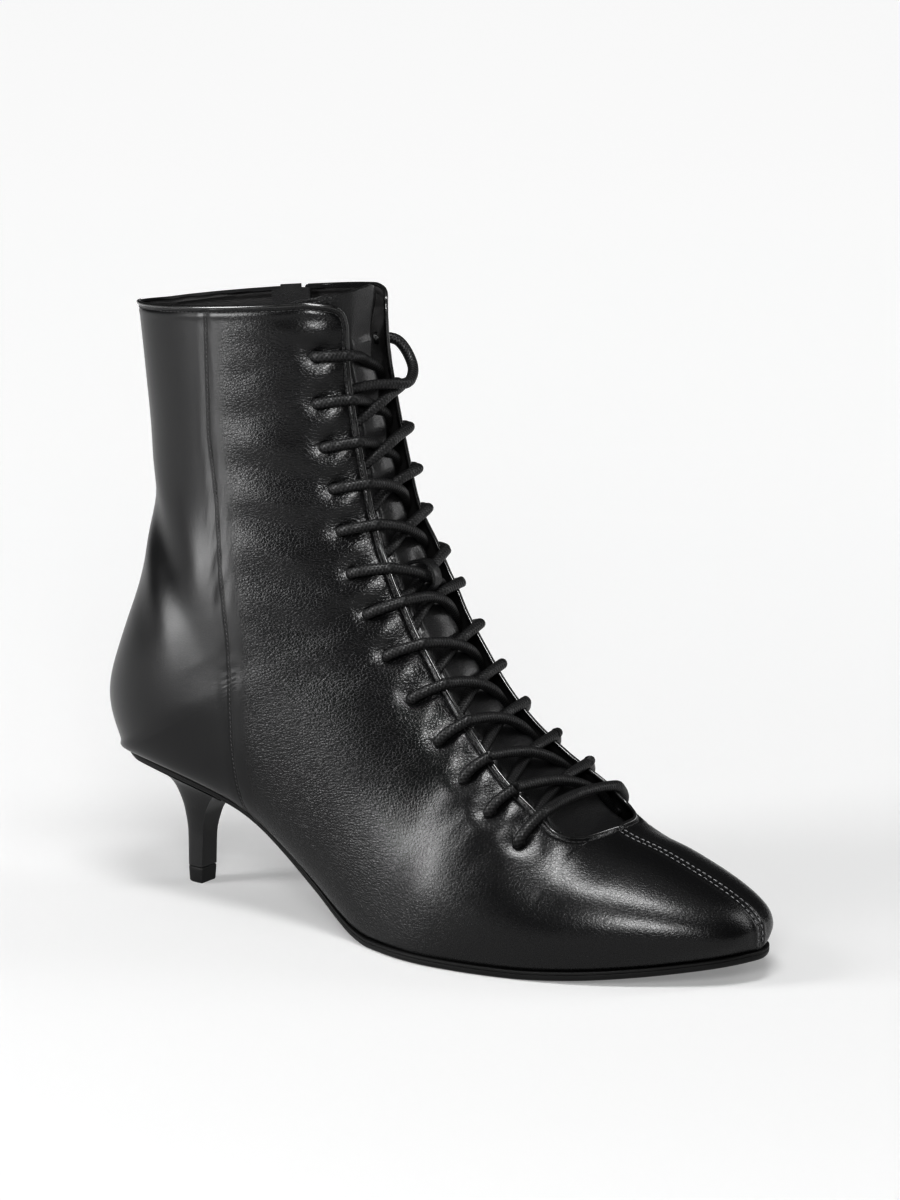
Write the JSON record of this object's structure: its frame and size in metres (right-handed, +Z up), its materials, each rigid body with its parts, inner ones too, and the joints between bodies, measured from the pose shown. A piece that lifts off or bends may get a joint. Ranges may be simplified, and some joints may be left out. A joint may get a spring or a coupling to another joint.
{
  "type": "lace-up ankle boot",
  "caption": "Women's pointed ankle boot with a slim kitten heel, a long open throat closed by crossing round laces over a tongue, and an inner side zip.",
  "frame": {"origin": "on the ground, under the centre of the boot's bounding box", "axes": "-Y towards the toe, +Z up, +X towards the inner (medial) side of this right boot"},
  "size_m": [0.0831, 0.2443, 0.2033],
  "materials": {
    "upper_leather": "smooth black leather with a fine grain and a soft gloss",
    "tongue_leather": "grained black leather",
    "lining": "matte dark lining",
    "sole": "satin black",
    "heel_cover": "black leather-covered heel",
    "lace_cord": "waxed round cord",
    "zip_tape": "woven tape with matching teeth",
    "zip_metal": "dark plated metal"
  },
  "bodies": {
    "boot": {"upper": "upper_leather", "tongue": "tongue_leather", "tongue_keeper": "tongue_leather", "insole": "lining", "outsole": "sole", "heel": "heel_cover", "heel_top_piece": "sole", "lace_crossing_01": "lace_cord", "lace_crossing_02": "lace_cord", "lace_crossing_03": "lace_cord", "lace_crossing_04": "lace_cord", "lace_crossing_05": "lace_cord", "lace_crossing_06": "lace_cord", "lace_crossing_07": "lace_cord", "lace_crossing_08": "lace_cord", "lace_crossing_09": "lace_cord", "lace_crossing_10": "lace_cord", "lace_crossing_11": "lace_cord", "lace_crossing_12": "lace_cord", "lace_bar": "lace_cord", "zip_tape": "zip_tape", "zip_slider": "zip_metal"},
    "pull": {"zip_pull": "zip_metal"}
  },
  "joints": [
    {"name": "zip_pull_hinge", "type": "hinge", "parent": "boot", "child": "pull", "pos_m": [0.02831, 0.06716, 0.18167], "axis": [0.0962, -0.9932, 0.0653], "range_deg": [0, 165]}
  ]
}
